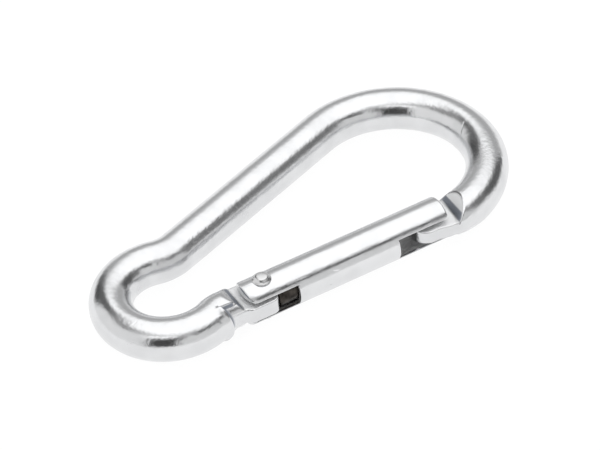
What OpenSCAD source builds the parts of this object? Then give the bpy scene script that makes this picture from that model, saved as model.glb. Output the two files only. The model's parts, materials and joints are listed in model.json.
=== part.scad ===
// Spring snap hook: a bent round-rod loop with a small eye and a wide bow,
// closed by a tubular gate that swings inward on a riveted hinge.
// Millimetres. The hook lies flat: X runs along the closed gate from the
// hinge to the nose, Y from the gate into the loop, Z up.

/* [Rod] */
// Diameter of the rod the loop is bent from
rod_d = 11; // [10:0.1:12]

/* [Loop] */
// Bend radius of the small eye, to the rod's centre line
eye_r = 13.9; // [13:0.1:15]
// Distance from the hinge pin back to the eye's centre
eye_x = 19.8; // [19:0.1:21]
// How far the eye's centre line dips outside the gate's axis
eye_dip = 1.9; // [1.6:0.1:2.4]
// Bend radius of the bow, to the rod's centre line
bow_r = 24; // [22:0.1:26]
// Distance from the hinge pin forward to the bow's centre
bow_x = 50.3; // [49.5:0.1:53]
// How far the bow's centre line dips outside the gate's axis
bow_dip = 1.8; // [1.4:0.1:2.2]
// Angle between the straight spine and the gate
spine_angle = 20; // [18:0.1:22]
// Radius of the reverse bend between the eye and the spine
waist_r = 10.8; // [8:0.1:14]
// Inside radius of the reverse bend between the eye and the hinge tab
neck_in = 0.6; // [0.4:0.1:3]

/* [Hinge tab] */
// Thickness of the flattened tab
tab_t = 4.4; // [3.6:0.1:4.6]
// Outer edge of the tab, from the gate's axis
tab_out = 5.3; // [4.8:0.1:5.6]
// Inner edge of the tab, from the gate's axis
tab_in = 5; // [4.4:0.1:5.4]
// How far the tab reaches past the hinge pin
tab_end = 2.3; // [2.2:0.1:3]
// Corner radius of the tab's free end
tab_corner_r = 2.1; // [1.6:0.1:2.2]
// Distance from the hinge pin back to the foot of the shoulder
shoulder_x = 7.1; // [7:0.1:7.8]
// Lean of the shoulder's lower face from upright, in degrees
shoulder_lean = 30; // [20:1:36]

/* [Neck] */
// Diameter of the neck beside the hinge tab
neck_d = 9.4; // [9:0.1:10]
// Inner wall of the neck's notch, from the gate's axis
notch_in = 2.5; // [2.2:0.1:3]
// Turn of the notch's end wall about the eye, from the gate's normal
notch_turn = 26; // [24:0.5:28]
// Slope of the bevel from the tab's outer face down to the neck
notch_slope = 42; // [30:1:60]

/* [Nose tongue] */
// Thickness of the flattened tongue
tongue_t = 3.8; // [3.2:0.1:4.4]
// Length of the tongue in front of the foot of its shoulder
tongue_l = 11.8; // [10.6:0.1:12.6]
// Radius of the tongue's rounded end
tongue_end_r = 5.1; // [4.8:0.1:5.4]
// Offset of the rounded end's centre outward from the gate's axis
tongue_end_y = 0.6; // [0.4:0.1:1]
// Outer edge of the tongue behind its rounded end, from the gate's axis
tongue_side = 5.55; // [5.2:0.05:5.6]
// Outer edge of the tongue at its root, from the gate's axis
tongue_out = 6.3; // [5.8:0.1:6.5]
// Distance from the hinge pin to the foot of the shoulder behind the tongue
nose_x = 52.8; // [52.6:0.1:54]
// Tilt of that shoulder about the upright, in degrees
nose_tilt = 5.5; // [0:0.5:10]
// Lean of that shoulder's lower face from upright, in degrees
nose_lean = 23; // [10:1:30]

/* [Brow above both shoulders] */
// Height above the rod's centre where the shoulder meets the sloping brow
brow_z = 4.4; // [4:0.1:4.8]
// Slope of the brow from level, in degrees
brow_slope = 33; // [24:1:45]

/* [Gate] */
// Outer diameter of the gate's sleeve
sleeve_d = 11; // [10.6:0.1:11.4]
// Wall of the sleeve
sleeve_wall = 1.2; // [1:0.05:1.4]
// Height of the slots at both ends of the sleeve
slot_h = 5.8; // [5.4:0.1:6.2]
// Distance from the hinge pin to the end of the outer hinge slot
slot_out = 7.5; // [7.2:0.1:9]
// Distance from the hinge pin to the end of the inner hinge slot
slot_in = 4.2; // [4:0.1:5]
// Length of the outer slot at the nose end
nose_slot = 14.5; // [13.5:0.1:16]
// Corner radius of the two ears at the hinge end
ear_r = 1.2; // [0.8:0.1:1.6]

/* [Hinge rivet] */
// Diameter of the rivet's shank
rivet_d = 2.8; // [2.4:0.1:3]
// Diameter of the rivet's heads
rivet_head_d = 4.8; // [4.2:0.1:5.2]
// How far the heads stand out of the sleeve
rivet_head_h = 1.2; // [0.9:0.1:1.4]
// Height of the domed top of each head
rivet_dome_h = 0.9; // [0.6:0.05:1.1]

/* [Spring set] */
// Length of the plunger's head
plunger_l = 6; // [5.6:0.1:8]
// Length of each spigot inside the spring
spigot_l = 3; // [2:0.1:4]
// Length of the spring as fitted with the gate closed
spring_l = 16; // [14:0.1:18]
// Diameter of the spring wire
wire_d = 1.1; // [0.9:0.05:1.3]
// Turns of the spring
turns = 7; // [6:0.5:8]
// Length of the stop pressed into the sleeve
stop_l = 4; // [3:0.1:5]

/* [Clearances] */
// Gap between the sleeve's hinge end and the foot of the hinge shoulder
hinge_end_gap = 2.3; // [2.1:0.1:2.6]
// Gap between the sleeve's nose end and the foot of the nose shoulder
nose_end_gap = 2.3; // [1.8:0.1:2.8]
// Clearance around the rivet in the tab
pin_gap = 0.06; // [0.03:0.01:0.1]
// Clearance around the plunger in the sleeve
plunger_gap = 0.15; // [0.1:0.01:0.2]
// Clearance between the plunger and the end of the tab
nose_gap = 0.15; // [0.1:0.01:0.3]
// Clearance between the tongue and the sleeve's inner wall
latch_gap = 0.25; // [0.2:0.01:0.4]
// Clearance at each end of the spring
spring_gap = 0.05; // [0.02:0.01:0.2]
// Clearance around the spring in the sleeve
coil_gap = 0.4; // [0.3:0.05:0.6]
// Clearance around the spigots in the spring
spigot_gap = 0.6; // [0.4:0.05:0.8]

/* [Hidden] */
$fn = 96;
reach = 3*rod_d;
rod_r = rod_d/2;
// Lengths of the rod join by lapping: every second one is a hair thinner
// and its ends run a little way into its neighbours
lap = 0.08;
hair = 0.03;
sleeve_r = sleeve_d/2;
bore_r = sleeve_r - sleeve_wall;
gate_back = shoulder_x - hinge_end_gap;
gate_front = nose_x - nose_end_gap;

// Centres and tangent directions of the bends in the centre line
eye_y = eye_r - eye_dip;
bow_y = bow_r - bow_dip;
eye_c = [-eye_x, eye_y];
bow_c = [bow_x, bow_y];
spine_dir = [cos(spine_angle), sin(spine_angle)];
spine_nrm = [-sin(spine_angle), cos(spine_angle)];
span = bow_c - eye_c;
waist_h = bow_r + waist_r + span*spine_nrm;
waist_q = sqrt((eye_r + waist_r)^2 - waist_h^2);
waist_c = eye_c + waist_h*spine_nrm + waist_q*spine_dir;
neck_r = rod_r + neck_in;
neck_c = [eye_c[0] + sqrt((eye_r + neck_r)^2 - (eye_y + neck_r)^2), -neck_r];
eye_start = bearing(waist_c - eye_c);
eye_end = 360 + bearing(neck_c - eye_c);
neck_start = bearing(eye_c - neck_c);
waist_start = 360 + bearing(eye_c - waist_c);
waist_end = 270 + spine_angle;
bow_start = -90;
bow_end = 90 + spine_angle;

// Hinge shoulder and nose
brow_run = (rod_r - brow_z)/tan(brow_slope);
tongue_tip = nose_x - tongue_l;
tongue_c = [tongue_tip + tongue_end_r, -tongue_end_y];
tongue_in = sqrt(bore_r^2 - (tongue_t/2)^2) - latch_gap;
tongue_root = nose_x + rod_r;

// Spring set, measured from the hinge pin along the gate
plunger_r = bore_r - plunger_gap;
spring_r = bore_r - coil_gap;
spigot_r = spring_r - wire_d - spigot_gap;
plunger_x = tab_end + nose_gap;
spring_x = plunger_x + plunger_l + spring_gap;
stop_x = spring_x + spring_l + spring_gap;

// The lowest point and the middle of the whole hook
head_top = sleeve_r + rivet_head_h;
low_z = max(rod_r, head_top);
box_x = [eye_c[0] - eye_r - rod_r, bow_x + bow_r + rod_r];
box_y = [-max(eye_dip, bow_dip) - rod_r, bow_y + bow_r + rod_r];
origin = [(box_x[0] + box_x[1])/2, (box_y[0] + box_y[1])/2, -low_z];

function bearing(v) = atan2(v[1], v[0]);

// Moves the hook from the hinge pin's frame to its resting frame
module placed() {
  translate(-origin) children();
}

// A bend of the rod about a centre, between two bearings
module bend(c, r, from, to, lapped = false) {
  more = lapped ? lap/r*180/PI : 0;
  translate([c[0], c[1], 0])
    rotate([0, 0, from - more])
      rotate_extrude(angle = to - from + 2*more)
        translate([r, 0]) circle(r = lapped ? rod_r - hair : rod_r);
}

// A straight length of the rod between two points of the centre line
module bar(p, q) {
  translate([p[0], p[1], 0])
    rotate([0, 0, bearing(q - p)])
      along_x(rod_r - hair, -lap, norm(q - p) + lap);
}

// A round bar on the X axis
module along_x(r, from, to) {
  translate([from, 0, 0])
    rotate([0, 90, 0])
      cylinder(r = r, h = to - from);
}

// A flat plate of the given thickness, centred on the rod
module plate(t) {
  translate([0, 0, -t/2]) linear_extrude(t) children();
}

// The bent rod, from the hinge shoulder round to the bottom of the bow
module loop() {
  bar([neck_c[0], 0], [-shoulder_x - lap, 0]);
  bend(neck_c, neck_r, 90, neck_start);
  bend(eye_c, eye_r, eye_start, eye_end, lapped = true);
  bend(waist_c, waist_r, waist_start, waist_end);
  bar(waist_c - waist_r*spine_nrm, bow_c + bow_r*spine_nrm);
  bend(bow_c, bow_r, bow_start, bow_end);
}

// What takes the rod down to a flat of thickness t, above and below:
// a leaning face from the flat up to the brow, then the brow's own slope.
// The flat lies towards +X from the foot at zero.
module shoulder_cut(t, lean) {
  run = (brow_z - t/2)*tan(lean);
  for (side = [0, 1])
    mirror([0, 0, side])
      translate([0, reach/2, 0])
        rotate([90, 0, 0])
          linear_extrude(reach)
            polygon([
              [0, t/2],
              [-run, brow_z],
              [-run - 2*brow_run, 2*rod_r - brow_z],
              [reach, 2*rod_r - brow_z],
              [reach, t/2]
            ]);
}

// The notch in the neck's outer side, between the eye's end and the tab
module notch_cut() {
  wall = [sin(notch_turn), -cos(notch_turn)];
  inner = eye_c + wall*(eye_y + notch_in)/cos(notch_turn);
  outer = eye_c + wall*(eye_y + rod_d)/cos(notch_turn);
  bevel = (tab_out - notch_in)/tan(notch_slope);
  difference() {
    plate(reach)
      polygon([
        inner,
        outer,
        [-shoulder_x + bevel/2, -rod_d],
        [-shoulder_x + bevel/2, -tab_out],
        [-shoulder_x - bevel/2, -notch_in]
      ]);
    along_x(neck_d/2, -eye_x, 0);
  }
}

// The flat tab that carries the hinge pin
module tab() {
  difference() {
    plate(tab_t) {
      difference() {
        translate([-shoulder_x, -tab_out])
          square([shoulder_x + tab_end, tab_out + tab_in]);
        tab_corner(-tab_out, 1);
        tab_corner(tab_in, -1);
      }
      translate([-shoulder_x - tab_t/2, -tab_t/2])
        square(tab_t);
    }
    cylinder(d = rivet_d + 2*pin_gap, h = reach, center = true);
  }
}

// What a rounded corner takes off the tab's free end
module tab_corner(edge, way) {
  c = [tab_end - tab_corner_r, edge + way*tab_corner_r];
  difference() {
    translate([c[0], way > 0 ? edge - 1 : c[1]])
      square([tab_corner_r + 1, tab_corner_r + 1]);
    translate(c) circle(r = tab_corner_r);
  }
}

// Clears the rod in front of the nose and shapes the shoulder there
module nose_cut() {
  translate([nose_x, 0, 0])
    rotate([0, 0, -nose_tilt])
      mirror([1, 0, 0]) {
        shoulder_cut(tongue_t, nose_lean);
        translate([0, -reach/2, -reach/2]) cube(reach);
      }
}

// The flat tongue that enters the gate
module tongue() {
  plate(tongue_t)
    intersection() {
      polygon([
        [tongue_tip - 1, tongue_in],
        [tongue_tip - 1, -tongue_side],
        [nose_x - rod_r, -tongue_side],
        [nose_x - rod_r/2, -tongue_out],
        [nose_x, -tongue_out],
        [tongue_root, -tongue_in],
        [tongue_root, tongue_in]
      ]);
      union() {
        translate(tongue_c) circle(r = tongue_end_r);
        translate([tongue_c[0], -rod_d]) square([tongue_root, 2*rod_d]);
      }
    }
}

module hook_body() {
  color("silver")
    placed()
      difference() {
        union() {
          difference() {
            loop();
            translate([-shoulder_x, 0, 0]) shoulder_cut(tab_t, shoulder_lean);
            nose_cut();
          }
          tab();
          tongue();
        }
        notch_cut();
      }
}

// The gate's tube, forked at the hinge and slotted at the nose
module gate_sleeve() {
  color("gainsboro")
    placed()
      difference() {
        along_x(sleeve_r, -gate_back, gate_front);
        along_x(bore_r, -gate_back - 1, gate_front + 1);
        slot(-gate_back - 1, slot_out, -1);
        slot(-gate_back - 1, slot_in, 1);
        slot(gate_front - nose_slot, gate_front + 1, -1);
        cylinder(d = rivet_d, h = reach, center = true);
        for (side = [0, 1])
          mirror([0, 0, side]) ear_corner();
      }
}

// A slot through one side of the sleeve
module slot(from, to, way) {
  translate([from, way > 0 ? 0 : -sleeve_d, -slot_h/2])
    cube([to - from, sleeve_d, slot_h]);
}

// What a rounded corner takes off an ear beside the hinge slot
module ear_corner() {
  translate([0, sleeve_d, 0])
    rotate([90, 0, 0])
      linear_extrude(2*sleeve_d)
        difference() {
          translate([-gate_back - 1, slot_h/2 - 1])
            square([ear_r + 1, ear_r + 1]);
          translate([-gate_back + ear_r, slot_h/2 + ear_r])
            circle(r = ear_r);
        }
}

// The hinge pin, headed over on both sides of the sleeve
module hinge_rivet() {
  color("lightgray")
    placed() {
      cylinder(d = rivet_d, h = 2*sleeve_r, center = true);
      for (side = [0, 1])
        mirror([0, 0, side]) rivet_head();
    }
}

module rivet_head() {
  head_r = rivet_head_d/2;
  dome_r = (head_r^2 + rivet_dome_h^2)/(2*rivet_dome_h);
  difference() {
    intersection() {
      cylinder(r = head_r, h = head_top);
      translate([0, 0, head_top - dome_r]) sphere(r = dome_r);
    }
    along_x(sleeve_r, -sleeve_d, sleeve_d);
  }
}

// The plunger that the spring holds against the tab
module spring_plunger() {
  color("dimgray")
    placed() {
      along_x(plunger_r, plunger_x, plunger_x + plunger_l);
      along_x(spigot_r, plunger_x + plunger_l/2, plunger_x + plunger_l + spigot_l);
    }
}

// The stop that holds the spring's other end
module spring_stop() {
  color("dimgray")
    placed() {
      along_x(bore_r, stop_x, stop_x + stop_l);
      along_x(spigot_r, stop_x - spigot_l, stop_x + stop_l/2);
    }
}

// Points and faces of the spring's wire, swept along its coil
coil_r = spring_r - wire_d/2;
wire_sides = 8;
coil_steps = round(16*turns);
function coil_at(i) =
  let (a = 360*turns*i/coil_steps)
  [wire_d/2 + (spring_l - wire_d)*i/coil_steps, coil_r*cos(a), coil_r*sin(a)];
function ring_at(i) =
  let (a = 360*turns*i/coil_steps, p = coil_at(i))
  [for (k = [0:wire_sides - 1])
    let (b = 360*k/wire_sides)
    p + wire_d/2*[cos(b), sin(b)*cos(a), sin(b)*sin(a)]];
ring_pts = [for (i = [0:coil_steps]) each ring_at(i)];
ring_faces = [
  for (i = [0:coil_steps - 1], k = [0:wire_sides - 1])
    let (m = (k + 1) % wire_sides, a = i*wire_sides, b = a + wire_sides)
    [a + k, a + m, b + m, b + k]
];
end_faces = [
  [for (k = [wire_sides - 1:-1:0]) k],
  [for (k = [0:wire_sides - 1]) coil_steps*wire_sides + k]
];

module gate_spring() {
  color("gray")
    placed()
      translate([spring_x, 0, 0])
        polyhedron(points = ring_pts, faces = concat(ring_faces, end_faces), convexity = 10);
}

hook_body();
gate_sleeve();
hinge_rivet();
spring_plunger();
gate_spring();
spring_stop();
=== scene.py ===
"""Looks of a spring snap hook.

A round rod is bent into a small eye and a wide bow. A tubular gate closes the loop: it swings
inward on a riveted hinge, and a spring inside it pushes it shut against the hook's nose.
Shapes are made in millimetres round the hinge pin and then placed in the row's frame.
"""

import json
import logging
import math
from dataclasses import dataclass
from enum import Enum
from functools import partial
from typing import Callable

import bmesh
import bpy
import numpy as np
from mathutils import Matrix, Vector, noise


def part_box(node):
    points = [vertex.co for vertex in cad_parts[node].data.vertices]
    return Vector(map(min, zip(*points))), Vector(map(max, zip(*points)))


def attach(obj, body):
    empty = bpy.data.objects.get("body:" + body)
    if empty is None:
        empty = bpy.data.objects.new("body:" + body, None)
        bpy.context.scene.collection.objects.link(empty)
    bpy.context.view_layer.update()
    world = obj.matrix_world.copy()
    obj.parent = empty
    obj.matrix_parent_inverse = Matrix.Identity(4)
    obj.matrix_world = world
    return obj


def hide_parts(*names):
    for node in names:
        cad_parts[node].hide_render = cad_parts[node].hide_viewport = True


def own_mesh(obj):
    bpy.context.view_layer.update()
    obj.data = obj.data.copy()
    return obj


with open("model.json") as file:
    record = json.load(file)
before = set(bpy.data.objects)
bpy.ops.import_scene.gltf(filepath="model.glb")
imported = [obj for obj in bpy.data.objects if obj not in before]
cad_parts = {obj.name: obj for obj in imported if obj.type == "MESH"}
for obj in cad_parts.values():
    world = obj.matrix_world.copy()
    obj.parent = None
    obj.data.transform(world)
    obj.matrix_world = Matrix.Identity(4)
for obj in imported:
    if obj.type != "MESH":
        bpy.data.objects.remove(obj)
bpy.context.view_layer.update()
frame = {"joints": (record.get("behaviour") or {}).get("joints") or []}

LOG = logging.getLogger("snap_hook")
MM = 0.001
HINGE = next(j for j in frame["joints"] if j["name"] == "gate_hinge")
PIN = Vector(HINGE["pos_m"])
PLACE = Matrix.Translation(PIN) @ Matrix.Diagonal((MM, MM, MM, 1.0))
Array = np.ndarray
BMesh = bmesh.types.BMesh
Socket = bpy.types.NodeSocket
Pair = tuple[float, float]
Color = Point = tuple[float, float, float]
TINY = 1e-6
WELD = 1e-4
X_AXIS, Y_AXIS, Z_AXIS = Vector((1, 0, 0)), Vector((0, 1, 0)), Vector((0, 0, 1))


class Body(Enum):
    """The bodies that the pieces ride on."""

    HOOK = "hook"
    GATE = "gate"
    PLUNGER = "plunger"


def node_span(node: str) -> tuple[Vector, Vector]:
    """Gives a CAD node's box in millimetres from the hinge pin.

    Args:
        node: Name of the CAD node.

    Returns:
        The lowest and the highest corner.
    """
    low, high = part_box(node)
    return (low - PIN) / MM, (high - PIN) / MM


def smoothstep(t: Array) -> Array:
    """Eases a share from 0 to 1, held at both ends."""
    t = np.clip(t, 0.0, 1.0)
    return t * t * (3.0 - 2.0 * t)


def eased(value: Array, fade: Pair) -> Array:
    """Eases from 0 to 1 over a fade, given by its start and its length."""
    return smoothstep((value - fade[0]) / fade[1])


def soft_max(a: Array, b: Array, radius: float) -> Array:
    """Joins two signed distances as a cut does, with the outer edge rounded."""
    near = np.maximum(radius - np.abs(a - b), 0.0) / radius
    return np.maximum(a, b) + near * near * radius / 4.0


def soft_min(a: Array, b: Array, radius: float) -> Array:
    """Joins two signed distances as a weld does, with the inner corner filled."""
    return -soft_max(-a, -b, radius)


class Nodes:
    """A short way to write a node tree."""

    def __init__(self, tree: bpy.types.NodeTree) -> None:
        """Empties the tree.

        Args:
            tree: The material's or world's node tree.
        """
        self.tree = tree
        tree.nodes.clear()

    def add(self, kind: str, inputs: dict | None = None, **settings) -> bpy.types.Node:
        """Adds a node and fills its sockets.

        Args:
            kind: The node's type name.
            inputs: Socket name or number to a value, or to an output socket to link.
            **settings: The node's own properties.

        Returns:
            The new node.
        """
        node = self.tree.nodes.new(kind)
        for key, value in settings.items():
            setattr(node, key, value)
        for key, value in (inputs or {}).items():
            if isinstance(value, Socket):
                self.tree.links.new(value, node.inputs[key])
            else:
                node.inputs[key].default_value = value
        return node

    def math(self, operation: str, *values) -> Socket:
        """Adds a math node and gives its output."""
        return self.add("ShaderNodeMath", dict(enumerate(values)), operation=operation).outputs[0]

    def dot(self, a, b) -> Socket:
        """Gives the dot product of two vectors."""
        return self.add("ShaderNodeVectorMath", {0: a, 1: b}, operation="DOT_PRODUCT").outputs["Value"]

    def bump(self, height, distance: float, normal=None, hollow: bool = False) -> Socket:
        """Adds a raised or hollow relief, on top of another if one is given, and gives its normal."""
        inputs = {"Height": height, "Distance": distance, "Strength": 1.0}
        if normal is not None:
            inputs["Normal"] = normal
        return self.add("ShaderNodeBump", inputs, invert=hollow).outputs[0]

    def ramp(self, value, low: float, high: float, to_low: float, to_high: float) -> Socket:
        """Maps a value smoothly from one range to another and gives the output."""
        inputs = {"Value": value, "From Min": low, "From Max": high, "To Min": to_low, "To Max": to_high}
        return self.add("ShaderNodeMapRange", inputs, interpolation_type="SMOOTHSTEP").outputs[0]

    def mix(self, share, a, b) -> Socket:
        """Mixes two numbers and gives the output."""
        return self.add("ShaderNodeMix", {0: share, 2: a, 3: b}).outputs[0]

    def mix_color(self, share, a, b) -> Socket:
        """Mixes two colours and gives the output."""
        return self.add("ShaderNodeMix", {0: share, 6: a, 7: b}, data_type="RGBA").outputs[2]

    def surface(self, inputs: dict) -> None:
        """Ends a material's tree with a principled shader."""
        shader = self.add("ShaderNodeBsdfPrincipled", inputs)
        self.add("ShaderNodeOutputMaterial", {"Surface": shader.outputs[0]})

    def noise(self, vector, scale: float, detail: float = 2.0, rough: float = 0.5) -> Socket:
        """Adds a noise texture and gives its value."""
        inputs = {"Vector": vector, "Scale": scale, "Detail": detail, "Roughness": rough}
        return self.add("ShaderNodeTexNoise", inputs).outputs[0]


@dataclass(frozen=True)
class Nick:
    """A short scratch where a plane cuts the surface, in metres in the row's frame."""

    place: Point
    across: Point
    reach: float
    width: float
    full_share: float = 0.6

    def mask(self, n: Nodes, place: Socket) -> Socket:
        """Gives 1 in the scratch and 0 elsewhere."""
        off = n.add("ShaderNodeVectorMath", {0: place, 1: self.place}, operation="SUBTRACT").outputs[0]
        side = n.dot(off, self.across)
        away = n.add("ShaderNodeVectorMath", {0: off}, operation="LENGTH").outputs["Value"]
        line = n.ramp(n.math("ABSOLUTE", side), 0.0, self.width, 1.0, 0.0)
        return n.math("MULTIPLY", line, n.ramp(away, self.full_share * self.reach, self.reach, 1.0, 0.0))


@dataclass(frozen=True)
class MetalFinish:
    """A metal with a fine grain, softer wear patches and thin scratches.

    Lengths are in metres. The grain can be drawn out along X, as on a drawn tube. Where the piece's
    "pressed" attribute is 1, the metal is as rough as a pressed face and paler, partly a painted highlight
    that makes the face read as lit; where the painted-shade attribute is 1, it is darkened as painted shade.
    """

    name: str
    slot: str
    color: Color
    dull_color: Color
    roughness: float
    roughness_spread: float
    grain_size: float
    grain_height: float
    draw_ratio: float = 1.0
    patch_size: float = 0.006
    patch_limits: Pair = (0.3, 0.7)
    scratch_size: float = 0.0014
    scratch_height: float = 0.000004
    scratch_dull: float = 0.08
    scratch_limits: Pair = (0.70, 0.78)
    scratch_turn: Point = (0.7, 0.4, 1.1)
    scratch_scale: Point = (0.06, 1.0, 1.0)
    nicks: tuple[Nick, ...] = ()
    nick_height: float = 0.00011
    pressed_roughness: float | None = None
    # Paler colour of pressed faces: partly their own finish, partly a painted highlight that makes them read
    # as lit.
    pressed_lit_color: Color | None = None
    # Darker colour laid where the painted-shade attribute is 1: painted shade on shoulder faces and creases.
    painted_shade_color: Color | None = None

    def build(self) -> bpy.types.Material:
        """Makes the material.

        Returns:
            The finished material.
        """
        material = bpy.data.materials.new(self.name)
        material.use_nodes = True
        n = Nodes(material.node_tree)
        place = n.add("ShaderNodeTexCoord").outputs["Object"]
        drawn = n.add("ShaderNodeMapping", {"Vector": place, "Scale": (1 / self.draw_ratio, 1, 1)}).outputs[0]
        patches = n.ramp(n.noise(place, 1 / self.patch_size, 3.0), *self.patch_limits, 0.0, 1.0)
        grain = n.noise(drawn, 1 / self.grain_size, 3.0, 0.6)
        turned = {"Vector": place, "Rotation": self.scratch_turn, "Scale": self.scratch_scale}
        tilted = n.add("ShaderNodeMapping", turned).outputs[0]
        scratch = n.ramp(n.noise(tilted, 1 / self.scratch_size, 1.0), *self.scratch_limits, 0.0, 1.0)
        color = n.mix_color(patches, (*self.color, 1), (*self.dull_color, 1))
        low, high = self.roughness - self.roughness_spread, self.roughness + self.roughness_spread
        rough = n.math("MULTIPLY_ADD", scratch, self.scratch_dull, n.mix(patches, low, high))
        # Pressed faces get a rougher finish and a paler colour; the paler colour is partly a painted
        # highlight.
        if self.pressed_roughness is not None:
            pressed = n.add("ShaderNodeAttribute", attribute_name="pressed").outputs["Fac"]
            rough = n.mix(pressed, rough, self.pressed_roughness)
            color = n.mix_color(pressed, color, (*(self.pressed_lit_color or self.color), 1))
        # Painted shade: darkens the colour where the painted-shade attribute is 1.
        if self.painted_shade_color is not None:
            painted_shade = n.add("ShaderNodeAttribute", attribute_name="painted_shade").outputs["Fac"]
            color = n.mix_color(painted_shade, color, (*self.painted_shade_color, 1))
        worn = n.bump(scratch, self.scratch_height, n.bump(grain, self.grain_height), hollow=True)
        for nick in self.nicks:
            worn = n.bump(nick.mask(n, place), self.nick_height, worn, hollow=True)
        n.surface({"Base Color": color, "Metallic": 1.0, "Roughness": rough, "Normal": worn})
        return material


PLATED_ROD = MetalFinish(
    "bright plated rod", "plated_rod", (0.735, 0.74, 0.75), (0.69, 0.695, 0.705), 0.20, 0.03, 0.0011,
    0.000060,
    # The dark colour here is painted shade on the shoulders and the notch's crease; the pale pressed colour
    # is partly a painted highlight.
    pressed_roughness=0.60, pressed_lit_color=(0.90, 0.905, 0.91), painted_shade_color=(0.30, 0.32, 0.36),
    nicks=(
        Nick((0.0505, -0.0010, 0.0109), (0.62, -0.78, 0.0), 0.0024, 0.00022),
        Nick((0.0505, -0.0155, 0.0105), (0.50, 0.60, 0.62), 0.0012, 0.00020),
        Nick((-0.0300, -0.0220, 0.0110), (0.85, 0.30, 0.43), 0.0010, 0.00020),
    ),
)
PLATED_SLEEVE = MetalFinish(
    "bright plated sleeve", "plated_sleeve", (0.745, 0.75, 0.76), (0.70, 0.705, 0.715), 0.19, 0.03, 0.0010,
    # The pressed colour here makes the tube's inner wall paler, a painted light inside the tube.
    0.000040, draw_ratio=3.0, pressed_roughness=0.55, pressed_lit_color=(0.86, 0.86, 0.86),
    nicks=(
        Nick((-0.0023, -0.0270, 0.0094), (0.25, 0.68, 0.68), 0.0011, 0.00020),
        Nick((-0.0043, -0.0276, 0.0061), (0.0, 0.1, 1.0), 0.0006, 0.00030),
    ),
)
RIVET_STEEL = MetalFinish(
    "hammered rivet", "rivet_steel", (0.74, 0.74, 0.745), (0.66, 0.66, 0.665), 0.26, 0.05, 0.0006, 0.00003
)
# Near-black: partly an oiled steel finish, partly painted shade of the recess inside the tube.
SHADED_INNER_STEEL = MetalFinish(
    "oiled inner steel with painted shade", "inner_steel", (0.07, 0.062, 0.055), (0.015, 0.013, 0.012), 0.25, 0.05, 0.0008,
    0.00003, patch_size=0.0024
)
SPRING_WIRE = MetalFinish(
    "drawn spring wire", "spring_wire", (0.26, 0.26, 0.265), (0.18, 0.18, 0.18), 0.30, 0.05, 0.0004, 0.00001
)


def linked(name: str, data: bpy.types.ID) -> bpy.types.Object:
    """Makes an object at the origin and links it to the scene."""
    made = bpy.data.objects.new(name, data)
    bpy.context.scene.collection.objects.link(made)
    return made


@dataclass
class Piece:
    """A finished mesh with what it stands for and what it rides on."""

    name: str
    node: str
    body: Body
    finish: MetalFinish
    sharp_deg: float = 35.0

    def make(self, bm: BMesh) -> bpy.types.Object:
        """Turns a shape in hinge millimetres into a placed, dressed object.

        Args:
            bm: The shape. It is freed.

        Returns:
            The new object.
        """
        bmesh.ops.remove_doubles(bm, verts=bm.verts, dist=WELD)
        bmesh.ops.recalc_face_normals(bm, faces=bm.faces)
        bmesh.ops.transform(bm, matrix=PLACE, verts=bm.verts)
        mesh = bpy.data.meshes.new(self.name)
        bm.to_mesh(mesh)
        bm.free()
        for polygon in mesh.polygons:
            polygon.use_smooth = True
        mesh.set_sharp_from_angle(angle=math.radians(self.sharp_deg))
        piece = linked(self.name, mesh)
        piece.data.materials.append(self.finish.build())
        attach(piece, self.body.value)
        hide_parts(self.node)
        LOG.info("%s stands for %s on %s", self.name, self.node, self.body.value)
        return piece


def ring_edges(geom: list) -> list:
    """Picks the edges out of an operator's result."""
    return [g for g in geom if isinstance(g, bmesh.types.BMEdge)]


def ring_verts(geom: list) -> list:
    """Picks the vertices out of an operator's result."""
    return [g for g in geom if isinstance(g, bmesh.types.BMVert)]


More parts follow.
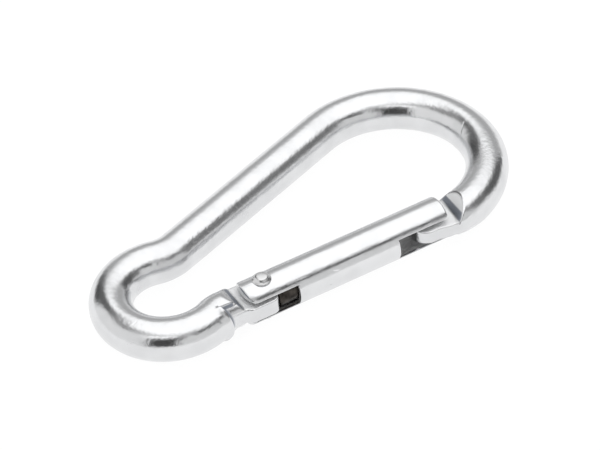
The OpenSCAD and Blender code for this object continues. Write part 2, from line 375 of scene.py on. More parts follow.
@dataclass
class HookRod:
    """The bent rod with its pressed hinge tab and its nose with the tongue.

    Sizes are in millimetres, and X, Y are counted from the hinge pin. A fade is a start and a length,
    a brow a height and a slope in degrees, and a dent a place, a reach and a depth.
    """

    rod_r: float
    eye_r: float = 13.9
    eye_x: float = 19.8
    eye_dip: float = 1.9
    bow_r: float = 24.0
    bow_x: float = 50.3
    bow_dip: float = 1.8
    spine_deg: float = 20.0
    waist_r: float = 10.8
    neck_in: float = 0.6
    tab_t: float = 4.4
    tab_out: float = 5.3
    tab_in: float = 5.0
    tab_end: float = 2.3
    tab_corner_r: float = 2.1
    tab_root: float = 2.0
    shoulder_x: float = 7.1
    shoulder_lean: float = 38.0
    neck_r: float = 4.7
    notch_in: float = 2.5
    notch_slope: float = 42.0
    tongue_t: float = 3.8
    tongue_tip: float = 41.0
    tongue_end_r: float = 5.1
    tongue_end_y: float = 0.6
    tongue_in: float = 3.6
    tongue_side: float = 5.55
    tongue_out: float = 6.3
    nose_x: float = 52.64
    nose_tilt: float = 4.4
    nose_lean: float = 39.0
    nose_brow: Pair = (3.45, 44.0)
    nose_twist: float = 0.04
    hinge_brow: Pair = (4.4, 33.0)
    edge_r: float = 0.5
    crease_r: float = 0.2
    foot_r: float = 0.3
    flank_r: float = 1.0
    taper: float = 0.65
    taper_run: float = 8.0
    lip_bulge: float = 0.7
    lip_run: float = 1.3
    lip_edge: float = 0.35
    lip_fade: Pair = (-0.6, 1.2)
    lip_room: float = 2.0
    under_fade: Pair = (-0.15, 0.75)
    flank_fade: Pair = (4.0, 2.0)
    # Crease fades: where painted shade darkens the crease round the notch.
    crease_w: float = 0.7
    crease_l: float = 0.9
    crease_run: float = 2.4
    crease_fade: Pair = (-1.0, 1.5)
    core_r: float = 0.02
    search_room: float = 0.6
    halvings: int = 26
    cut_fade: Pair = (0.1, 0.25)
    flat_fade: Pair = (0.05, 0.15)
    face_fade: Pair = (0.12, 0.12)
    # Fades of the painted shade on the shoulders' steep lower faces.
    shade_foot: Pair = (0.1, 0.3)
    shade_top: Pair = (-0.1, 0.3)
    ripple_place: Point = (-6.5, 22.5, 0.5)
    ripple_reach: float = 5.0
    ripple_depth: float = 0.16
    ripple_size: Point = (2.6, 0.9, 2.0)
    ripple_least: float = 0.02
    skin: float = 0.03
    wave_depth: float = 0.02
    wave_l: float = 5.0
    dents: tuple[tuple[float, ...], ...] = (
        (33.5, 38.6, 0.5, 0.9, 0.10), (41.5, 39.2, 1.0, 0.8, 0.08), (46.5, 38.4, 1.5, 1.0, 0.10),
        (72.8, 5.4, 1.0, 0.9, 0.10), (6.0, 30.6, 2.2, 1.0, 0.08),
    )
    sides: int = 176
    tip_steps: int = 14
    tab_steps: int = 14
    foot_reach: float = 2.4
    foot_steps: int = 36
    rest_steps: int = 10
    neck_steps: int = 24
    lip_deg: float = 0.4
    lip_spread: int = 6
    lip_steps: int = 8
    eye_steps: int = 76
    waist_steps: int = 44
    spine_steps: int = 24
    bow_steps: int = 80
    nose_steps: int = 76
    tongue_steps: int = 12
    end_steps: int = 24
    end_share: float = 0.98
    hole_r: float = 1.46
    hole_rim: float = 0.1
    hole_sides: int = 64

    def __post_init__(self) -> None:
        """Works out the centres and bearings of the bends."""
        self.eye_c = Vector((-self.eye_x, self.eye_r - self.eye_dip))
        self.bow_c = Vector((self.bow_x, self.bow_r - self.bow_dip))
        turn = math.radians(self.spine_deg)
        along, across = Vector((math.cos(turn), math.sin(turn))), Vector((-math.sin(turn), math.cos(turn)))
        height = self.bow_r + self.waist_r + (self.bow_c - self.eye_c).dot(across)
        shift = math.sqrt((self.eye_r + self.waist_r) ** 2 - height**2)
        self.waist_c = self.eye_c + height * across + shift * along
        self.neck_bend = self.rod_r + self.neck_in
        reach = math.sqrt((self.eye_r + self.neck_bend) ** 2 - (self.eye_c.y + self.neck_bend) ** 2)
        self.neck_c = Vector((self.eye_c.x + reach, -self.neck_bend))
        self.spine_l = (self.bow_c - self.waist_c).dot(along)
        self.spine_dir = along

    @staticmethod
    def bearing(v: Vector) -> float:
        """Gives a plan vector's direction in radians."""
        return math.atan2(v.y, v.x)

    @staticmethod
    def on_bend(p: Array, center: Vector, radius: float) -> Array:
        """Ring centres round a bend."""
        away = p[:, :2] - np.array(center)
        away *= radius / np.linalg.norm(away, axis=1)[:, None]
        return np.column_stack((away + np.array(center), np.zeros(len(p))))

    def straight(self, bm: BMesh, ring: list, step: Vector, count: int) -> list:
        """Draws the ring out along a straight line.

        Args:
            bm: The shape.
            ring: The open ring's edges.
            step: How far each new ring goes.
            count: How many rings are drawn.

        Returns:
            The last ring's edges.
        """
        for _ in range(count):
            made = bmesh.ops.extrude_edge_only(bm, edges=ring)["geom"]
            bmesh.ops.translate(bm, vec=step, verts=ring_verts(made))
            new = set(ring_verts(made))
            ring = [e for e in ring_edges(made) if new.issuperset(e.verts)]
        return ring

    def bend(self, bm: BMesh, ring: list, center: Vector, angle: float, count: int) -> list:
        """Draws the ring out round a bend.

        Args:
            bm: The shape.
            ring: The open ring's edges.
            center: The bend's centre in plan.
            angle: The turn in radians, positive from X to Y.
            count: How many rings are drawn.

        Returns:
            The last ring's edges.
        """
        verts = list(dict.fromkeys(v for e in ring for v in e.verts))
        made = bmesh.ops.spin(
            bm, geom=ring + verts, cent=(center.x, center.y, 0), axis=Z_AXIS, angle=angle, steps=count
        )["geom_last"]
        return ring_edges(made)

    def mesh(self) -> BMesh:
        """Draws the round rod from the tab's end to the tongue's tip, presses, weathers and drills it.

        Returns:
            The finished shape in hinge millimetres.
        """
        bm = bmesh.new()
        bmesh.ops.create_circle(bm, cap_ends=False, segments=self.sides, radius=self.rod_r)
        turn = Matrix.Translation((self.tab_end, 0, 0)) @ Matrix.Rotation(math.radians(90), 4, "Y")
        bmesh.ops.transform(bm, matrix=turn, verts=bm.verts)
        ring = list(bm.edges)
        zones = []

        def zone(press: Callable | None, center: Callable, draw: Callable, *how) -> None:
            """Draws one stretch and notes how its rings are pressed."""
            nonlocal ring
            start = len(bm.verts)
            ring = draw(bm, ring, *how)
            zones.append((start, len(bm.verts), press, center))

        def on_axis(p: Array) -> Array:
            """Ring centres along the gate's axis."""
            return p * np.array((1.0, 0.0, 0.0))

        zones.append((0, len(bm.verts), self.hinge_field, on_axis))
        tip_run = self.tab_corner_r
        for k in range(self.tip_steps):
            here = tip_run * (1 - math.cos(math.pi / 2 * k / self.tip_steps))
            there = tip_run * (1 - math.cos(math.pi / 2 * (k + 1) / self.tip_steps))
            step = Vector((here - there, 0, 0))
            zone(self.hinge_field, on_axis, self.straight, step, 1)
        tab_run = self.tab_end - tip_run + self.shoulder_x - self.notch_bevel / 2
        foot_run = self.notch_bevel / 2 + self.foot_reach
        rest_run = -self.neck_c.x - self.shoulder_x - self.foot_reach
        runs = ((tab_run, self.tab_steps), (foot_run, self.foot_steps), (rest_run, self.rest_steps))
        for run, count in runs:
            zone(self.hinge_field, on_axis, self.straight, Vector((-run / count, 0, 0)), count)
        neck_turn = self.bearing(self.eye_c - self.neck_c) - math.pi / 2
        neck = partial(self.on_bend, center=self.neck_c, radius=self.neck_bend)
        zone(self.hinge_field, neck, self.bend, self.neck_c, neck_turn, self.neck_steps)
        eye = partial(self.on_bend, center=self.eye_c, radius=self.eye_r)
        eye_turn = 2 * math.pi - (
            self.bearing(self.waist_c - self.eye_c) - self.bearing(self.neck_c - self.eye_c)
        )
        lip_turn = math.radians(self.lip_deg)
        lip_rest = self.lip_spread * lip_turn
        plain_turn = eye_turn - lip_turn - lip_rest
        zone(self.lip_field, eye, self.bend, self.eye_c, -lip_turn, 1)
        zone(self.lip_field, eye, self.bend, self.eye_c, -lip_rest, self.lip_steps)
        zone(None, eye, self.bend, self.eye_c, -plain_turn, self.eye_steps)
        waist_turn = math.radians(270 + self.spine_deg) - (
            2 * math.pi + self.bearing(self.eye_c - self.waist_c)
        )
        zone(None, on_axis, self.bend, self.waist_c, waist_turn, self.waist_steps)
        spine_step = self.spine_dir.to_3d() * self.spine_l / self.spine_steps
        zone(None, on_axis, self.straight, spine_step, self.spine_steps)
        bow = partial(self.on_bend, center=self.bow_c, radius=self.bow_r)
        bow_turn = math.radians(180 + self.spine_deg)
        nose_turn = math.asin((self.nose_x - self.bow_x + self.taper_run) / self.bow_r)
        zone(None, bow, self.bend, self.bow_c, nose_turn - bow_turn, self.bow_steps)
        zone(self.nose_field, bow, self.bend, self.bow_c, -nose_turn, self.nose_steps)
        rise = self.bow_dip - self.tongue_end_y
        tongue_run = self.bow_x - self.tongue_tip - self.tongue_end_r

        def on_tongue(p: Array) -> Array:
            """Ring centres along the tongue."""
            share = np.clip((self.bow_x - p[:, 0]) / tongue_run, 0.0, 1.0)
            return np.column_stack((p[:, 0], -self.bow_dip + rise * share, np.zeros(len(p))))

        tongue_step = Vector((-tongue_run, rise, 0)) / self.tongue_steps
        zone(self.nose_field, on_tongue, self.straight, tongue_step, self.tongue_steps)
        for k in range(self.end_steps):
            here = self.tongue_end_r * math.sin(math.pi / 2 * k / self.end_steps)
            there = self.tongue_end_r * math.sin(math.pi / 2 * (k + self.end_share) / self.end_steps)
            step = Vector((here - there, 0, 0))
            zone(self.nose_field, on_tongue, self.straight, step, 1)
        self.press(bm, zones)
        bmesh.ops.holes_fill(bm, edges=[e for e in bm.edges if e.is_boundary], sides=0)
        bmesh.ops.recalc_face_normals(bm, faces=bm.faces)
        self.weather(bm)
        self.drill(bm)
        return bm

    def drill(self, bm: BMesh) -> None:
        """Opens the rivet's hole through the tab.

        Args:
            bm: The closed rod.
        """
        pressed = bm.verts.layers.float["pressed"]
        reach = self.hole_r + self.hole_rim
        rims = []
        for side in (1, -1):
            near = [v for v in bm.verts if v.co.xy.length < reach and v.co.z * side > 0]
            height = sum(v.co.z for v in near) / len(near)
            cut = dict.fromkeys(f for v in near for f in v.link_faces)
            around = dict.fromkeys(e for f in cut for e in f.edges)
            edge = [e for e in around if any(f not in cut for f in e.link_faces)]
            bmesh.ops.delete(bm, geom=list(cut), context="FACES")
            made = bmesh.ops.create_circle(
                bm, cap_ends=False, segments=self.hole_sides, radius=self.hole_r
            )["verts"]
            for v in made:
                v.co.z = height
                v[pressed] = 1.0
            rim = list(dict.fromkeys(e for v in made for e in v.link_edges))
            flat = [e for e in edge if e.is_valid] + rim
            bmesh.ops.triangle_fill(bm, edges=flat, use_beauty=True, normal=(0, 0, side))
            rims.append(made)
        top, bottom = rims
        for i in range(self.hole_sides):
            bm.faces.new((top[i - 1], top[i], bottom[i], bottom[i - 1]))

    @property
    def notch_bevel(self) -> float:
        """Length along the gate of the bevel between tab and notch."""
        return (self.tab_out - self.notch_in) / math.tan(math.radians(self.notch_slope))

    def press(self, bm: BMesh, zones: list) -> None:
        """Moves each vertex of the pressed zones along its own radius onto the pressed surface.

        Args:
            bm: The round rod.
            zones: First vertex number, the one past the last, field and ring centres of each stretch.
        """
        pressed = bm.verts.layers.float.new("pressed")
        # Marks where the colour is darkened as painted shade.
        painted_shade = bm.verts.layers.float.new("painted_shade")
        bm.verts.ensure_lookup_table()
        for start, end, field, center in zones:
            if field is None or start == end:
                continue
            points = np.array([bm.verts[i].co for i in range(start, end)])
            middle = center(points)
            ray = points - middle
            ray /= np.linalg.norm(ray, axis=1)[:, None]
            inner = np.full(len(points), self.core_r)
            outer = np.full(len(points), self.rod_r + self.search_room)
            for _ in range(self.halvings):
                half = (inner + outer) / 2
                inside = field(middle + ray * half[:, None], half) < 0
                inner = np.where(inside, half, inner)
                outer = np.where(inside, outer, half)
            points = middle + ray * inner[:, None]
            cut = eased(self.rod_r - inner, self.cut_fade)
            at_nose = field == self.nose_field
            flat = (self.tongue_t if at_nose else self.tab_t) / 2
            # Painted shade: the shoulders' steep lower faces and the crease round the notch are darkened.
            dark = np.maximum(self.painted_shade_face_share(points, at_nose), self.crease_shade_share(points)) * cut
            off_flat = np.abs(np.abs(points[:, 2]) - flat)
            # The flats, the nose's brow and the painted-shade zones get the pressed finish; its paler colour
            # is partly a painted highlight.
            dull_and_lit = np.maximum(cut * (1 - eased(off_flat, self.flat_fade)), dark)
            if at_nose:
                dull_and_lit = np.maximum(dull_and_lit, self.brow_share(points) * cut)
            for i, co, dull_and_lit_here, dark_here in zip(range(start, end), points, dull_and_lit, dark):
                bm.verts[i].co = co
                bm.verts[i][pressed] = dull_and_lit_here
                bm.verts[i][painted_shade] = dark_here

    def weather(self, bm: BMesh) -> None:
        """Adds the slight waves of the bent rod, the ripples inside the waist and a few dents.

        Args:
            bm: The pressed rod. Every mark goes inwards.
        """
        ripple = Vector(self.ripple_place)
        bm.normal_update()
        for v in bm.verts:
            depth = self.skin + self.wave_depth * (0.5 + 0.5 * noise.noise(v.co / self.wave_l))
            near = math.exp(-(((v.co - ripple).length / self.ripple_reach) ** 2))
            if near > self.ripple_least:
                along = v.co.xy.dot(self.spine_dir)
                places = zip((along, v.co.z, v.co.y), self.ripple_size)
                fold = noise.noise(Vector([place / size for place, size in places]))
                depth += self.ripple_depth * near * (0.5 + 0.5 * fold)
            for x, y, z, reach, hollow in self.dents:
                depth += hollow * math.exp(-(((v.co - Vector((x, y, z))).length / reach) ** 2))
            v.co -= v.normal * depth

    def painted_shade_face_share(self, p: Array, at_nose: bool) -> Array:
        """Tells which points lie on a shoulder's steep lower face, which is darkened as painted shade.

        Args:
            p: Points of the surface.
            at_nose: True for the nose's shoulder, False for the hinge's.

        Returns:
            A share from 0 to 1 for each point.
        """
        _, y, z = p.T
        _, steep, _ = self.faces(p, at_nose)
        on_face = 1 - eased(np.abs(steep), self.face_fade)
        thick = self.tongue_t if at_nose else self.tab_t
        top = self.brow_height(y) if at_nose else self.hinge_brow[0]
        below = 1 - eased(np.abs(z) - top, self.shade_top)
        return on_face * below * eased(np.abs(z) - thick / 2, self.shade_foot)

    def brow_height(self, y: Array) -> Array:
        """Height where the nose's brow starts, which changes a little across the rod."""
        return self.nose_brow[0] - self.nose_twist * (y + self.bow_dip)

    def brow_share(self, p: Array) -> Array:
        """Tells which points lie on the nose's brow, the face above the steep one, made paler as a painted
        highlight.
        """
        _, _, brow = self.faces(p, True)
        return (1 - eased(np.abs(brow), self.face_fade)) * (np.abs(p[:, 2]) > self.tongue_t / 2)

    def crease_shade_share(self, p: Array) -> Array:
        """Tells where painted shade darkens the crease round the notch, behind it and along its top."""
        along = self.eye_c - self.neck_c
        along = np.array((-along.y, along.x)) / along.length
        ahead = np.abs((p[:, :2] - np.array(self.neck_c)) @ along)
        x, y, z = p.T
        wide = eased(-self.notch_in - y, self.crease_fade)
        behind = (1 - eased(ahead, (self.crease_l, self.crease_w))) * wide * (x < -self.shoulder_x)
        top = 1 - eased(np.abs(y + self.notch_in), (self.crease_w / 5, self.crease_w / 2))
        return np.maximum(behind, top * (x < -self.shoulder_x - self.crease_run) * (z > 0))

    def nose_ahead(self, x: Array, y: Array) -> Array:
        """Distance in front of the nose's shoulder."""
        tilt = math.radians(self.nose_tilt)
        return y * math.sin(tilt) - (x - self.nose_x) * math.cos(tilt)

    def faces(self, p: Array, at_nose: bool) -> tuple[Array, Array, Array]:
        """Measures points from a shoulder's leaning face and the brow above it.

        Args:
            p: Points.
            at_nose: True for the nose's shoulder, False for the hinge's.

        Returns:
            Distance in front of the shoulder's foot, and signed distances from the face and the brow.
        """
        x, y, z = p.T
        if at_nose:
            ahead, thick, lean_deg = self.nose_ahead(x, y), self.tongue_t, self.nose_lean
            brow_z, brow_deg = self.brow_height(y), self.nose_brow[1]
        else:
            ahead, thick, lean_deg = x + self.shoulder_x, self.tab_t, self.shoulder_lean
            brow_z, brow_deg = self.hinge_brow
        high, lean, slope = np.abs(z), math.radians(lean_deg), math.radians(brow_deg)
        steep = (high - thick / 2 + ahead / math.tan(lean)) * math.sin(lean)
        run = (brow_z - thick / 2) * math.tan(lean)
        brow = (high - brow_z + (run + ahead) * math.tan(slope)) * math.cos(slope)
        return ahead, steep, brow

    def shoulder(self, p: Array, at_nose: bool, rod: Array) -> Array:
        """Signed distance of the rod, itself given as one, cut down by a shoulder's faces."""
        ahead, steep, brow = self.faces(p, at_nose)
        stump = soft_max(soft_max(rod, brow, self.edge_r), steep, self.crease_r)
        return soft_max(stump, ahead - self.foot_r, self.edge_r)

    def hinge_field(self, p: Array, radius: Array) -> Array:
        """Signed distance of the hinge tab, its shoulder and the notched neck."""
        x, y, z = p.T
        stump = self.shoulder(p, False, radius - self.rod_r)
        over = x - (self.tab_end - self.tab_corner_r)
        side = np.abs(y - (self.tab_in - self.tab_out) / 2) - (self.tab_in + self.tab_out) / 2
        side_in = side + self.tab_corner_r
        corner = np.hypot(np.maximum(over, 0), np.maximum(side_in, 0))
        corner += np.minimum(np.maximum(over, side_in), 0)
        tab = soft_max(np.abs(z) - self.tab_t / 2, corner - self.tab_corner_r, self.edge_r)
        tab = np.maximum(tab, -x - self.shoulder_x - self.tab_root)
        body = soft_min(stump, tab, self.foot_r)
        slope = math.radians(self.notch_slope)
        past = x + self.shoulder_x - self.notch_bevel / 2
        bevel = past * math.sin(slope) + (y + self.tab_out) * math.cos(slope)
        prism = np.maximum(y + self.notch_in, bevel)
        neck = np.hypot(y, z) - self.neck_r
        return soft_max(body, soft_min(-prism, neck, self.foot_r), self.edge_r)

    def lip_field(self, p: Array, radius: Array) -> Array:
        """Signed distance of the rod's end beside the notch, with its edge rounded."""
        away = p[:, :2] - np.array(self.eye_c)
        turn = np.arctan2(away[:, 1], away[:, 0]) - self.bearing(self.neck_c - self.eye_c)
        behind = turn * self.eye_r
        outer = eased(-self.notch_in - p[:, 1], self.lip_fade)
        swell = self.lip_bulge * outer * np.exp(-((behind / self.lip_run) ** 2))
        end = behind * outer - self.lip_room * (1 - outer)
        return soft_max(radius - self.rod_r - swell, end, self.lip_edge)

    def nose_field(self, p: Array, radius: Array) -> Array:
        """Signed distance of the nose shoulder and the tongue."""
        x, y, z = p.T
        ahead = self.nose_ahead(x, y)
        outward = np.hypot(x - self.bow_c.x, y - self.bow_c.y) - self.bow_r
        under = eased(outward / radius, self.under_fade) * smoothstep(0.5 - 2 * z / radius)
        slim = under * np.clip(1 + ahead / self.taper_run, 0, 1)
        rod = radius - self.rod_r + self.taper * slim
        stump = self.shoulder(p, True, rod)
        near, far = self.nose_x - self.rod_r, self.nose_x + self.rod_r
        out = np.interp(
            x,
            (near, self.nose_x - self.rod_r / 2, self.nose_x + self.rod_r / 3, far),
            (self.tongue_side, self.tongue_out, self.tongue_out, self.tongue_in),
        )
        plan = soft_max(y - self.tongue_in, -y - out, self.edge_r)
        tip_x = self.tongue_tip + self.tongue_end_r
        tip = np.where(x < tip_x, np.hypot(x - tip_x, y + self.tongue_end_y) - self.tongue_end_r, -1.0)
        tongue = soft_max(np.abs(z) - self.tongue_t / 2, np.maximum(plan, tip), self.edge_r)
        fill = self.foot_r + (self.flank_r - self.foot_r) * eased(-y, self.flank_fade)
        return soft_min(stump, tongue, fill)

    def build(self) -> None:
        """Makes the hook and dresses it."""
        Piece("hook_rod", "hook_body", Body.HOOK, PLATED_ROD).make(self.mesh())


@dataclass
class GateSleeve:
    """The gate's tube: a slotted plate with rounded edges, rolled up round the gate's axis."""

    outer_r: float
    back: float
    front: float
    wall: float = 1.2
    slot_h: float = 5.8
    slot_out: float = 7.5
    slot_in: float = 4.2
    nose_slot: float = 14.5
    ear_r: float = 1.2
    ear_crown: float = 0.9
    nose_r: float = 1.3
    fork_end: float = 1.0
    fork_fade: float = 0.6
    rim_r: float = 0.3
    curl: float = 0.25
    curl_l: float = 0.7
    columns: int = 120
    rows: int = 30
    fork_rows: int = 3
    curl_rows: int = 5

    def outline(self) -> list[Pair]:
        """Lists the flat plate's corners.

        Returns:
            Points of arc length round the tube and distance along it.
        """
        half = math.pi * self.outer_r
        slot = self.outer_r * math.asin(self.slot_h / 2 / self.outer_r)
        return [
            (0.0, self.front - self.nose_slot),
            (slot, self.front - self.nose_slot),
            (slot, self.front),
            (half, self.front),
            (half, self.slot_in),
            (half - slot, self.slot_in),
            *self.ear_end(half - slot, slot),
            (slot, self.slot_out),
            (0.0, self.slot_out),
        ]

    def ear_end(self, start: float, end: float, count: int = 12) -> list[Pair]:
        """Lists the points of an ear's end, which is fullest in its middle.

        Args:
            start: Arc length where the end starts.
            end: Arc length where it stops.
            count: How many stretches it has.

        Returns:
            Points of arc length and distance along the tube.
        """
        shares = [2 * k / count - 1 for k in range(count + 1)]
        middle, half = (start + end) / 2, (end - start) / 2
        return [(middle + half * t, self.back - self.ear_crown * (1 - t * t)) for t in shares]

    def mesh(self) -> BMesh:
        """Cuts the plate, rounds it and rolls it up.

        Returns:
            The finished shape in hinge millimetres.
        """
        bm = bmesh.new()
        half = math.pi * self.outer_r
        right = self.outline()
        points = right + [(-u, x) for u, x in reversed(right[1:-1])]
        corners = [bm.verts.new((u, x, 0)) for u, x in points]
        bm.faces.new(corners)
        for end, corner_r in ((self.back, self.ear_r), (self.front, self.nose_r)):
            at_end = [v for v in bm.verts if abs(v.co.y - end) < TINY and abs(v.co.x) < half - TINY]
            bmesh.ops.bevel(
                bm, geom=at_end, offset=corner_r, segments=8, profile=0.5, affect="VERTICES", material=-1
            )
        made = bmesh.ops.extrude_face_region(bm, geom=list(bm.faces), use_keep_orig=True)["geom"]
        bmesh.ops.translate(bm, vec=(0, 0, -self.wall), verts=ring_verts(made))
        bmesh.ops.recalc_face_normals(bm, faces=bm.faces)
        seam = {v for v in bm.verts if abs(abs(v.co.x) - half) < TINY}
        at_seam = [f for f in bm.faces if seam.issuperset(f.verts)]
        bmesh.ops.delete(bm, geom=at_seam, context="FACES_ONLY")
        flat = [e for e in bm.edges if abs(e.verts[0].co.z - e.verts[1].co.z) < TINY]
        rims = [e for e in flat if not seam.issuperset(e.verts)]
        bmesh.ops.bevel(
            bm, geom=rims, offset=self.rim_r, segments=3, profile=0.5, affect="EDGES", material=-1
        )
        for k in range(1, self.columns):
            self.slice(bm, (half * (2 * k / self.columns - 1), 0, 0), X_AXIS)
        length = self.front - self.back
        cuts = [self.back + length * k / self.rows for k in range(1, self.rows)]
        cuts += [self.fork_end + self.fork_fade * k / self.fork_rows for k in range(self.fork_rows + 1)]
        cuts += [self.front - self.curl_l * k / self.curl_rows for k in range(1, self.curl_rows)]
        for cut in cuts:
            self.slice(bm, (0, cut, 0), Y_AXIS)
        # The inner face is marked as pressed: rougher, and paler as painted light inside the tube.
        pressed = bm.verts.layers.float.new("pressed")
        for v in bm.verts:
            v[pressed] = 1.0 if -v.co.z > self.wall / 2 else 0.0
            v.co = self.rolled(v.co)
        return bm

    @staticmethod
    def slice(bm: BMesh, point: tuple, normal: Vector) -> None:
        """Cuts new edges across the plate where a plane meets it."""
        geom = bm.verts[:] + bm.edges[:] + bm.faces[:]
        bmesh.ops.bisect_plane(bm, geom=geom, dist=1e-5, plane_co=point, plane_no=normal)

    def rolled(self, flat: Vector) -> Vector:
        """Rolls a point of the flat plate up round the gate's axis.

        The walls of the slots stay parallel, the fork's ears are solid down to the slot beside the
        rivet, and the nose end curls in a little on the outside.

        Args:
            flat: Arc length, distance along the tube and depth below the outer face.

        Returns:
            The point on the tube.
        """
        depth = -flat.z
        radius = self.outer_r - depth
        angle = abs(flat.x) / self.outer_r
        edge = math.asin(self.slot_h / 2 / self.outer_r)
        spread = math.asin(self.slot_h / 2 / radius) - edge
        near = min(angle, math.pi - angle)
        if near < edge:
            share = near / edge
        else:
            share = 1 - float(smoothstep(np.array((near - edge) / (math.pi / 2 - edge))))
        angle += spread * share * (1 if angle < math.pi / 2 else -1)
        angle = math.copysign(angle, flat.x)
        into = (flat.y - self.front + self.curl_l) / self.curl_l
        if into > 0:
            radius -= self.curl * (1 - math.sqrt(max(0.0, 1 - min(into, 1.0) ** 2))) * (1 - depth / self.wall)
        height = radius * math.sin(angle)
        solid = 1 - float(smoothstep(np.array((flat.y - self.fork_end) / self.fork_fade)))
        height += (math.copysign(self.slot_h / 2, height) - height) * solid * depth / self.wall
        return Vector((flat.y, -radius * math.cos(angle), height))

    def build(self) -> None:
        """Makes the sleeve and dresses it."""
        Piece("gate_tube", "gate_sleeve", Body.GATE, PLATED_SLEEVE).make(self.mesh())


def spun(profile: list[Pair], axis: Vector, steps: int) -> BMesh:
    """Turns a profile round an axis through the hinge pin.

    Args:
        profile: Points of distance along the axis and radius, from one end to the other.
        axis: X or Z.
        steps: How many sides the turned shape has.

    Returns:
        The turned shape.
    """
    bm = bmesh.new()
    verts = [bm.verts.new(axis * along + Y_AXIS * radius) for along, radius in profile]
    edges = [bm.edges.new(pair) for pair in zip(verts, verts[1:])]
    bmesh.ops.spin(
        bm, geom=verts + edges, cent=(0, 0, 0), axis=axis, angle=2 * math.pi, steps=steps, use_merge=True
    )
    bmesh.ops.remove_doubles(bm, verts=bm.verts, dist=WELD)
    return bm


def arc(center: Pair, radius: float, start: float, end: float, count: int) -> list:
    """Lists points of a round stretch of a profile, with angles in degrees."""
    turns = [math.radians(start + (end - start) * k / count) for k in range(count + 1)]
    return [(center[0] + radius * math.cos(a), center[1] + radius * math.sin(a)) for a in turns]


@dataclass
class HingeRivet:
    """The hinge pin, headed over on both sides of the sleeve."""

    top: float
    sleeve_r: float
    shank_r: float = 1.4
    head: tuple[Pair, ...] = (
        (0.0, 0.0), (0.01, 0.4), (0.03, 0.8), (0.07, 1.15), (0.12, 1.4), (0.2, 1.54), (0.32, 1.64),
        (0.5, 1.76), (0.68, 1.92), (0.84, 2.09), (0.97, 2.25), (1.04, 2.35), (1.09, 2.4), (1.14, 2.39),
        (1.18, 2.3),
    )
    seat_r: float = 2.15
    seat: float = 0.01
    sides: int = 64

    def mesh(self) -> BMesh:
        """Turns one half, seats its head on the tube and mirrors it.

        Returns:
            The finished shape in hinge millimetres.
        """
        profile = [(self.top - drop, radius) for drop, radius in self.head] + [
            (0.0, self.seat_r),
            (0.0, self.shank_r),
        ]
        bm = spun(profile, Z_AXIS, self.sides)
        for v in bm.verts:
            if abs(v.co.z) < 1e-5:
                v.co.z = math.sqrt(self.sleeve_r**2 - v.co.y**2) + self.seat
        rim = [e for e in bm.edges if e.is_boundary]
        made = bmesh.ops.extrude_edge_only(bm, edges=rim)["geom"]
        for v in ring_verts(made):
            v.co.z = 0.0
        geom = bm.verts[:] + bm.edges[:] + bm.faces[:]
        bmesh.ops.mirror(bm, geom=geom, merge_dist=WELD, axis="Z")
        return bm

    def build(self) -> None:
        """Makes the rivet and dresses it."""
        Piece("hinge_pin", "hinge_rivet", Body.GATE, RIVET_STEEL, 50.0).make(self.mesh())


@dataclass
class SpringSet:
    """The plunger, the spring and the stop inside the sleeve."""

    plunger: Pair
    plunger_r: float
    spring: Pair
    spring_r: float
    stop: Pair
    stop_r: float
    head_l: float = 6.0
    spigot_r: float = 2.2
    spigot_l: float = 3.0
    wire_d: float = 1.1
    turns: float = 7.0
    edge: float = 0.7
    steps_per_turn: int = 32
    wire_sides: int = 14
    sides: int = 64

    def plunger_mesh(self) -> BMesh:
        """Turns the plunger with its spigot."""
        low, high = self.plunger
        head = low + self.head_l
        r, e = self.plunger_r, self.edge
        profile = [(low, 0.0), (low, r - e)] + arc((low + e, r - e), e, 170, 90, 4)
        profile += arc((head - e, r - e), e, 90, 0, 4)
        profile += [(head, self.spigot_r), (high - e, self.spigot_r), (high, self.spigot_r - e), (high, 0.0)]
        return spun(profile, X_AXIS, self.sides)

    def stop_mesh(self) -> BMesh:
        """Turns the stop with its spigot."""
        low, high = self.stop
        head = low + self.spigot_l
        r, e = self.stop_r, self.edge
        profile = [(low, 0.0), (low, self.spigot_r - e), (low + e, self.spigot_r), (head, self.spigot_r)]
        profile += [(head, r - e)] + arc((head + e, r - e), e, 170, 90, 4)
        profile += arc((high - e, r - e), e, 90, 0, 4) + [(high, 0.0)]
        return spun(profile, X_AXIS, self.sides)

    def spring_mesh(self) -> BMesh:
        """Winds the spring by screwing a wire's round section along the gate's axis."""
        low, high = self.spring
        wire_r = self.wire_d / 2
        coil_r = self.spring_r - wire_r
        bm = bmesh.new()
        bmesh.ops.create_circle(bm, cap_ends=False, segments=self.wire_sides, radius=wire_r)
        place = Matrix.Translation((low + wire_r, coil_r, 0))
        bmesh.ops.transform(bm, matrix=place, verts=bm.verts)
        steps = round(self.turns * self.steps_per_turn)
        rise = (high - low - self.wire_d) / steps
        bmesh.ops.spin(
            bm, geom=list(bm.verts) + list(bm.edges), cent=(0, 0, 0), axis=X_AXIS, dvec=(rise, 0, 0),
            angle=2 * math.pi * self.turns, steps=steps,
        )
        bmesh.ops.holes_fill(bm, edges=[e for e in bm.edges if e.is_boundary], sides=0)
        return bm

    def build(self) -> None:
        """Makes the three pieces and dresses them."""
        Piece("plunger", "spring_plunger", Body.PLUNGER, SHADED_INNER_STEEL).make(self.plunger_mesh())
        Piece("stop_plug", "spring_stop", Body.GATE, SHADED_INNER_STEEL).make(self.stop_mesh())
        coil = Piece("coil_spring", "gate_spring", Body.GATE, SPRING_WIRE, 60.0).make(self.spring_mesh())
        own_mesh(coil)


@dataclass(frozen=True)
class Panel:
    """A dark, grey or bright panel that stands round the light tent, by bearing and height in degrees."""

    bearing: Pair
    height: Pair
    level: float
    soft: float = 5.0


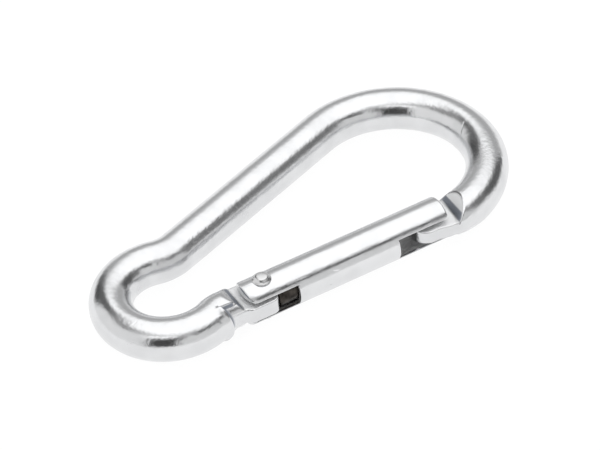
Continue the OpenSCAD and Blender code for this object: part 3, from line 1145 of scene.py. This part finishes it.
@dataclass
class Studio:
    """A pale floor under a light tent, and the camera."""

    floor_r: float = 6.0
    floor_color: Color = (0.13, 0.13, 0.13)
    floor_glow: float = 0.92
    fleck_scale: float = 900.0
    fleck_rough: Pair = (0.5, 0.6)
    top_light: float = 1.42
    top_tilt: float = 14.0
    top_bearing: float = 10.0
    top_edge: float = 52.0
    top_soft: float = 6.0
    strip_level: float = 0.52
    strip_depth: float = 14.0
    wall_level: float = 0.92
    backdrop: float = 1.0
    camera_place: Point = (-0.24645, -0.49125, 0.4925)
    camera_azimuth: float = -26.88
    camera_elevation: float = 41.71
    camera_roll: float = -5.14
    lens: float = 176.5
    panels: tuple[Panel, ...] = (
        Panel((-106, -42), (-3, 28), 0.78),
        Panel((-82, -46), (31, 43), 0.06, 3),
        Panel((-162, -108), (46, 57), 1.4, 4),
        Panel((-149, -108), (3, 45), 0.05, 4),
        Panel((-108, -95), (29, 45), 0.20, 4),
        Panel((-44, -2), (11, 40), 0.20),
        Panel((-20, 18), (3, 32), 0.11),
        Panel((20, 85), (6, 31), 0.48),
        Panel((6, 44), (36, 50), 1.25, 4),
        Panel((44, 84), (38.5, 52), 1.3, 3),
        Panel((92, 166), (44, 58), 0.27),
        Panel((86, 117), (4, 48), 0.13, 4),
        Panel((97, 116), (7, 24), 0.07, 4),
    )

    def floor(self) -> None:
        """Lays the floor, a round sheet that reaches out to the horizon."""
        bm = bmesh.new()
        bmesh.ops.create_circle(bm, cap_ends=True, segments=64, radius=self.floor_r)
        mesh = bpy.data.meshes.new("floor")
        bm.to_mesh(mesh)
        bm.free()
        floor = linked("floor", mesh)
        material = bpy.data.materials.new("pale floor")
        material.use_nodes = True
        n = Nodes(material.node_tree)
        place = n.add("ShaderNodeTexCoord").outputs["Object"]
        fleck = n.ramp(n.noise(place, self.fleck_scale), 0.3, 0.7, *self.fleck_rough)
        n.surface({
            "Base Color": (*self.floor_color, 1),
            "Roughness": fleck,
            "Specular IOR Level": 0.1,
            "Emission Color": (1, 1, 1, 1),
            "Emission Strength": self.floor_glow,
        })
        mesh.materials.append(material)

    def light(self) -> None:
        """Hangs the tent: a bright top, a grey strip below it, pale walls and the panels."""
        world = bpy.data.worlds.new("light tent")
        bpy.context.scene.world = world
        world.use_nodes = True
        n = Nodes(world.node_tree)
        way = n.add("ShaderNodeTexCoord").outputs["Generated"]
        part = n.add("ShaderNodeSeparateXYZ", {0: way}).outputs
        degrees = 180 / math.pi
        bearing = n.math("MULTIPLY", n.math("ARCTAN2", part[1], part[0]), degrees)
        height = n.math("MULTIPLY", n.math("ARCSINE", part[2]), degrees)
        tilt, turn = math.radians(self.top_tilt), math.radians(self.top_bearing)
        axis = (math.sin(tilt) * math.cos(turn), math.sin(tilt) * math.sin(turn), math.cos(tilt))
        above = n.math("MULTIPLY", n.math("ARCSINE", n.dot(way, axis)), degrees)
        strip, top, soft = self.top_edge - self.strip_depth, self.top_edge, self.top_soft
        value = n.ramp(above, strip - soft, strip + soft, self.wall_level, self.strip_level)
        value = n.mix(n.ramp(above, top - soft, top + soft, 0.0, 1.0), value, self.top_light)
        for panel in self.panels:
            share = self.inside(n, bearing, panel.bearing, panel.soft)
            share = n.math("MULTIPLY", share, self.inside(n, height, panel.height, panel.soft))
            value = n.mix(share, value, panel.level)
        seen = n.add("ShaderNodeLightPath").outputs["Is Camera Ray"]
        shown = n.mix(seen, value, self.backdrop)
        light = n.add("ShaderNodeBackground", {"Color": (1, 1, 1, 1), "Strength": shown})
        n.add("ShaderNodeOutputWorld", {"Surface": light.outputs[0]})

    @staticmethod
    def inside(n: Nodes, value, limits: Pair, soft: float) -> Socket:
        """Gives 1 between two limits and 0 outside, with soft ends."""
        rise = n.ramp(value, limits[0] - soft, limits[0] + soft, 0.0, 1.0)
        fall = n.ramp(value, limits[1] - soft, limits[1] + soft, 1.0, 0.0)
        return n.math("MULTIPLY", rise, fall)

    def camera(self) -> None:
        """Sets the camera at the photograph's angle."""
        data = bpy.data.cameras.new("camera")
        data.lens = self.lens
        data.sensor_width = 36.0
        data.clip_start, data.clip_end = 0.01, 100.0
        camera = linked("camera", data)
        turn = Matrix.Rotation(math.radians(self.camera_azimuth), 4, "Z")
        pitch = Matrix.Rotation(math.radians(90 - self.camera_elevation), 4, "X")
        roll = Matrix.Rotation(math.radians(self.camera_roll), 4, "Z")
        camera.matrix_world = Matrix.Translation(self.camera_place) @ turn @ pitch @ roll
        bpy.context.scene.camera = camera

    def build(self) -> None:
        """Sets up floor, light, camera and plain colour handling."""
        self.floor()
        self.light()
        self.camera()
        bpy.context.scene.view_settings.view_transform = "Standard"


def main() -> None:
    """Builds the hook, its gate and the studio in order."""
    logging.basicConfig(level=logging.INFO, format="%(name)s: %(message)s")
    _, rod_high = node_span("hook_body")
    tube_low, tube_high = node_span("gate_sleeve")
    _, pin_high = node_span("hinge_rivet")
    plunger_low, plunger_high = node_span("spring_plunger")
    spring_low, spring_high = node_span("gate_spring")
    stop_low, stop_high = node_span("spring_stop")
    Studio().build()
    HookRod(rod_r=rod_high.z).build()
    GateSleeve(outer_r=tube_high.z, back=tube_low.x, front=tube_high.x).build()
    HingeRivet(top=pin_high.z, sleeve_r=tube_high.z).build()
    SpringSet(
        plunger=(plunger_low.x, plunger_high.x),
        plunger_r=plunger_high.z,
        spring=(spring_low.x, spring_high.x),
        spring_r=spring_high.z,
        stop=(stop_low.x, stop_high.x),
        stop_r=stop_high.z,
    ).build()


if __name__ == "__main__":
    main()
